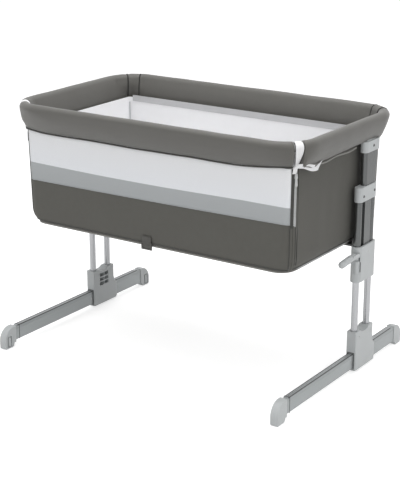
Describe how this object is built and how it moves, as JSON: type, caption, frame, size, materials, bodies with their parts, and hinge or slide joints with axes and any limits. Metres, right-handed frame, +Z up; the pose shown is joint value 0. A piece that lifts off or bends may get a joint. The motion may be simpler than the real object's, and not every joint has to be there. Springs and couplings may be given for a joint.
{
  "type": "bedside sleeper crib",
  "caption": "Bedside crib: fabric tub with a zip-down mesh drop side on twin-tube legs that adjust in height and feet that slide in.",
  "frame": {"origin": "on the floor, under the middle of the crib's bounding box", "axes": "+X along the crib to its right-hand leg, +Y from the drop side to the back, +Z up"},
  "size_m": [0.93, 0.69, 0.703],
  "materials": {
    "cover_fabric": "padded woven fabric with a smooth face",
    "panel_fabric": "plain woven fabric",
    "grey_mesh": "fine knitted mesh",
    "pale_mesh": "fine open mesh",
    "white_fabric": "plain white fabric",
    "mattress_fabric": "white quilted fabric",
    "zip_tape": "woven zip tape",
    "board": "plain fibreboard",
    "rail_steel": "powder-coated steel tube",
    "zip_metal": "satin",
    "black_plastic": "moulded, matt",
    "dark_aluminium": "dark grey anodised extrusion",
    "bright_aluminium": "bright anodised tube",
    "grey_plastic": "silver-grey moulded plastic",
    "screw_steel": "zinc-plated",
    "bracket_steel": "black-painted sheet steel",
    "bar_steel": "silver-grey painted tube"
  },
  "bodies": {
    "tub": {"back_panel": "panel_fabric", "back_rail_cover": "cover_fabric", "back_rail_tube": "rail_steel", "bracket_screws": "screw_steel", "corner_joint_left": "black_plastic", "corner_joint_right": "black_plastic", "corner_tapes": "white_fabric", "floor_frame": "rail_steel", "floor_panel": "panel_fabric", "front_lower_panel": "panel_fabric", "front_mesh_band": "grey_mesh", "front_mesh_window": "pale_mesh", "height_housing_left": "grey_plastic", "height_housing_right": "grey_plastic", "inner_lining": "white_fabric", "left_rail_cover": "cover_fabric", "left_rail_tube": "rail_steel", "left_side_panel": "panel_fabric", "leg_profile_left": "dark_aluminium", "leg_profile_right": "dark_aluminium", "lever_pivot_left": "screw_steel", "lever_pivot_right": "screw_steel", "lower_bracket_left": "bracket_steel", "lower_bracket_right": "bracket_steel", "mattress": "mattress_fabric", "mattress_board": "board", "mid_bracket_left": "grey_plastic", "mid_bracket_right": "grey_plastic", "right_rail_cover": "cover_fabric", "right_rail_tube": "rail_steel", "right_side_panel": "panel_fabric", "strap_buckle": "black_plastic", "top_bracket_left": "grey_plastic", "top_bracket_right": "grey_plastic", "upper_tube_left": "dark_aluminium", "upper_tube_right": "dark_aluminium", "zip_tapes": "zip_tape"},
    "drop_side": {"drop_rail_tube": "rail_steel", "drop_rail_cover": "cover_fabric"},
    "left_zip": {"zip_slider_left": "zip_metal"},
    "left_leg": {"foot_rear_bar_left": "bar_steel", "foot_cap_rear_left": "grey_plastic", "leg_socket_left": "grey_plastic", "leg_tubes_left": "bright_aluminium"},
    "left_foot": {"foot_front_bar_left": "bar_steel", "foot_cap_front_left": "grey_plastic"},
    "left_button": {"foot_button_left": "screw_steel"},
    "left_lever": {"release_lever_left": "grey_plastic"},
    "left_lock": {"lock_slide_left": "black_plastic"},
    "right_zip": {"zip_slider_right": "zip_metal"},
    "right_leg": {"foot_rear_bar_right": "bar_steel", "foot_cap_rear_right": "grey_plastic", "leg_socket_right": "grey_plastic", "leg_tubes_right": "bright_aluminium"},
    "right_foot": {"foot_front_bar_right": "bar_steel", "foot_cap_front_right": "grey_plastic"},
    "right_button": {"foot_button_right": "screw_steel"},
    "right_lever": {"release_lever_right": "grey_plastic"},
    "right_lock": {"lock_slide_right": "black_plastic"}
  },
  "joints": [
    {"name": "drop_side_slide", "type": "slide", "parent": "tub", "child": "drop_side", "axis": [0, 0, 1], "range_m": [-0.215, 0], "deforming": ["front_mesh_window"]},
    {"name": "left_zip_slide", "type": "slide", "parent": "tub", "child": "left_zip", "axis": [0, 0, 1], "range_m": [-0.215, 0]},
    {"name": "left_leg_height", "type": "slide", "parent": "tub", "child": "left_leg", "axis": [0, 0, 1], "range_m": [-0.105, 0.045]},
    {"name": "left_foot_slide", "type": "slide", "parent": "left_leg", "child": "left_foot", "axis": [0, 1, 0], "range_m": [0, 0.15]},
    {"name": "left_button_press", "type": "slide", "parent": "left_foot", "child": "left_button", "axis": [-1, 0, 0], "range_m": [0, 0.0025], "stiffness_N_per_m": 400},
    {"name": "left_lever_press", "type": "hinge", "parent": "tub", "child": "left_lever", "pos_m": [-0.448, 0.107, 0.33942], "axis": [1, 0, 0], "range_deg": [0, 12], "stiffness_Nm_per_rad": 1.2, "springref_deg": -2.86},
    {"name": "left_lock_draw", "type": "slide", "parent": "tub", "child": "left_lock", "axis": [0, 1, 0], "range_m": [0, 0.005]},
    {"name": "right_zip_slide", "type": "slide", "parent": "tub", "child": "right_zip", "axis": [0, 0, 1], "range_m": [-0.215, 0]},
    {"name": "right_leg_height", "type": "slide", "parent": "tub", "child": "right_leg", "axis": [0, 0, 1], "range_m": [-0.105, 0.045]},
    {"name": "right_foot_slide", "type": "slide", "parent": "right_leg", "child": "right_foot", "axis": [0, 1, 0], "range_m": [0, 0.15]},
    {"name": "right_button_press", "type": "slide", "parent": "right_foot", "child": "right_button", "axis": [-1, 0, 0], "range_m": [0, 0.0025], "stiffness_N_per_m": 400},
    {"name": "right_lever_press", "type": "hinge", "parent": "tub", "child": "right_lever", "pos_m": [0.448, 0.107, 0.33942], "axis": [1, 0, 0], "range_deg": [0, 12], "stiffness_Nm_per_rad": 1.2, "springref_deg": -2.86},
    {"name": "right_lock_draw", "type": "slide", "parent": "tub", "child": "right_lock", "axis": [0, 1, 0], "range_m": [0, 0.005]}
  ],
  "couplings": [
    {"joint": "left_zip_slide", "follows": "drop_side_slide", "ratio": 1},
    {"joint": "left_lock_draw", "follows": "left_lever_press", "m_per_rad": 0.0238},
    {"joint": "right_zip_slide", "follows": "drop_side_slide", "ratio": 1},
    {"joint": "right_lock_draw", "follows": "right_lever_press", "m_per_rad": 0.0238}
  ]
}
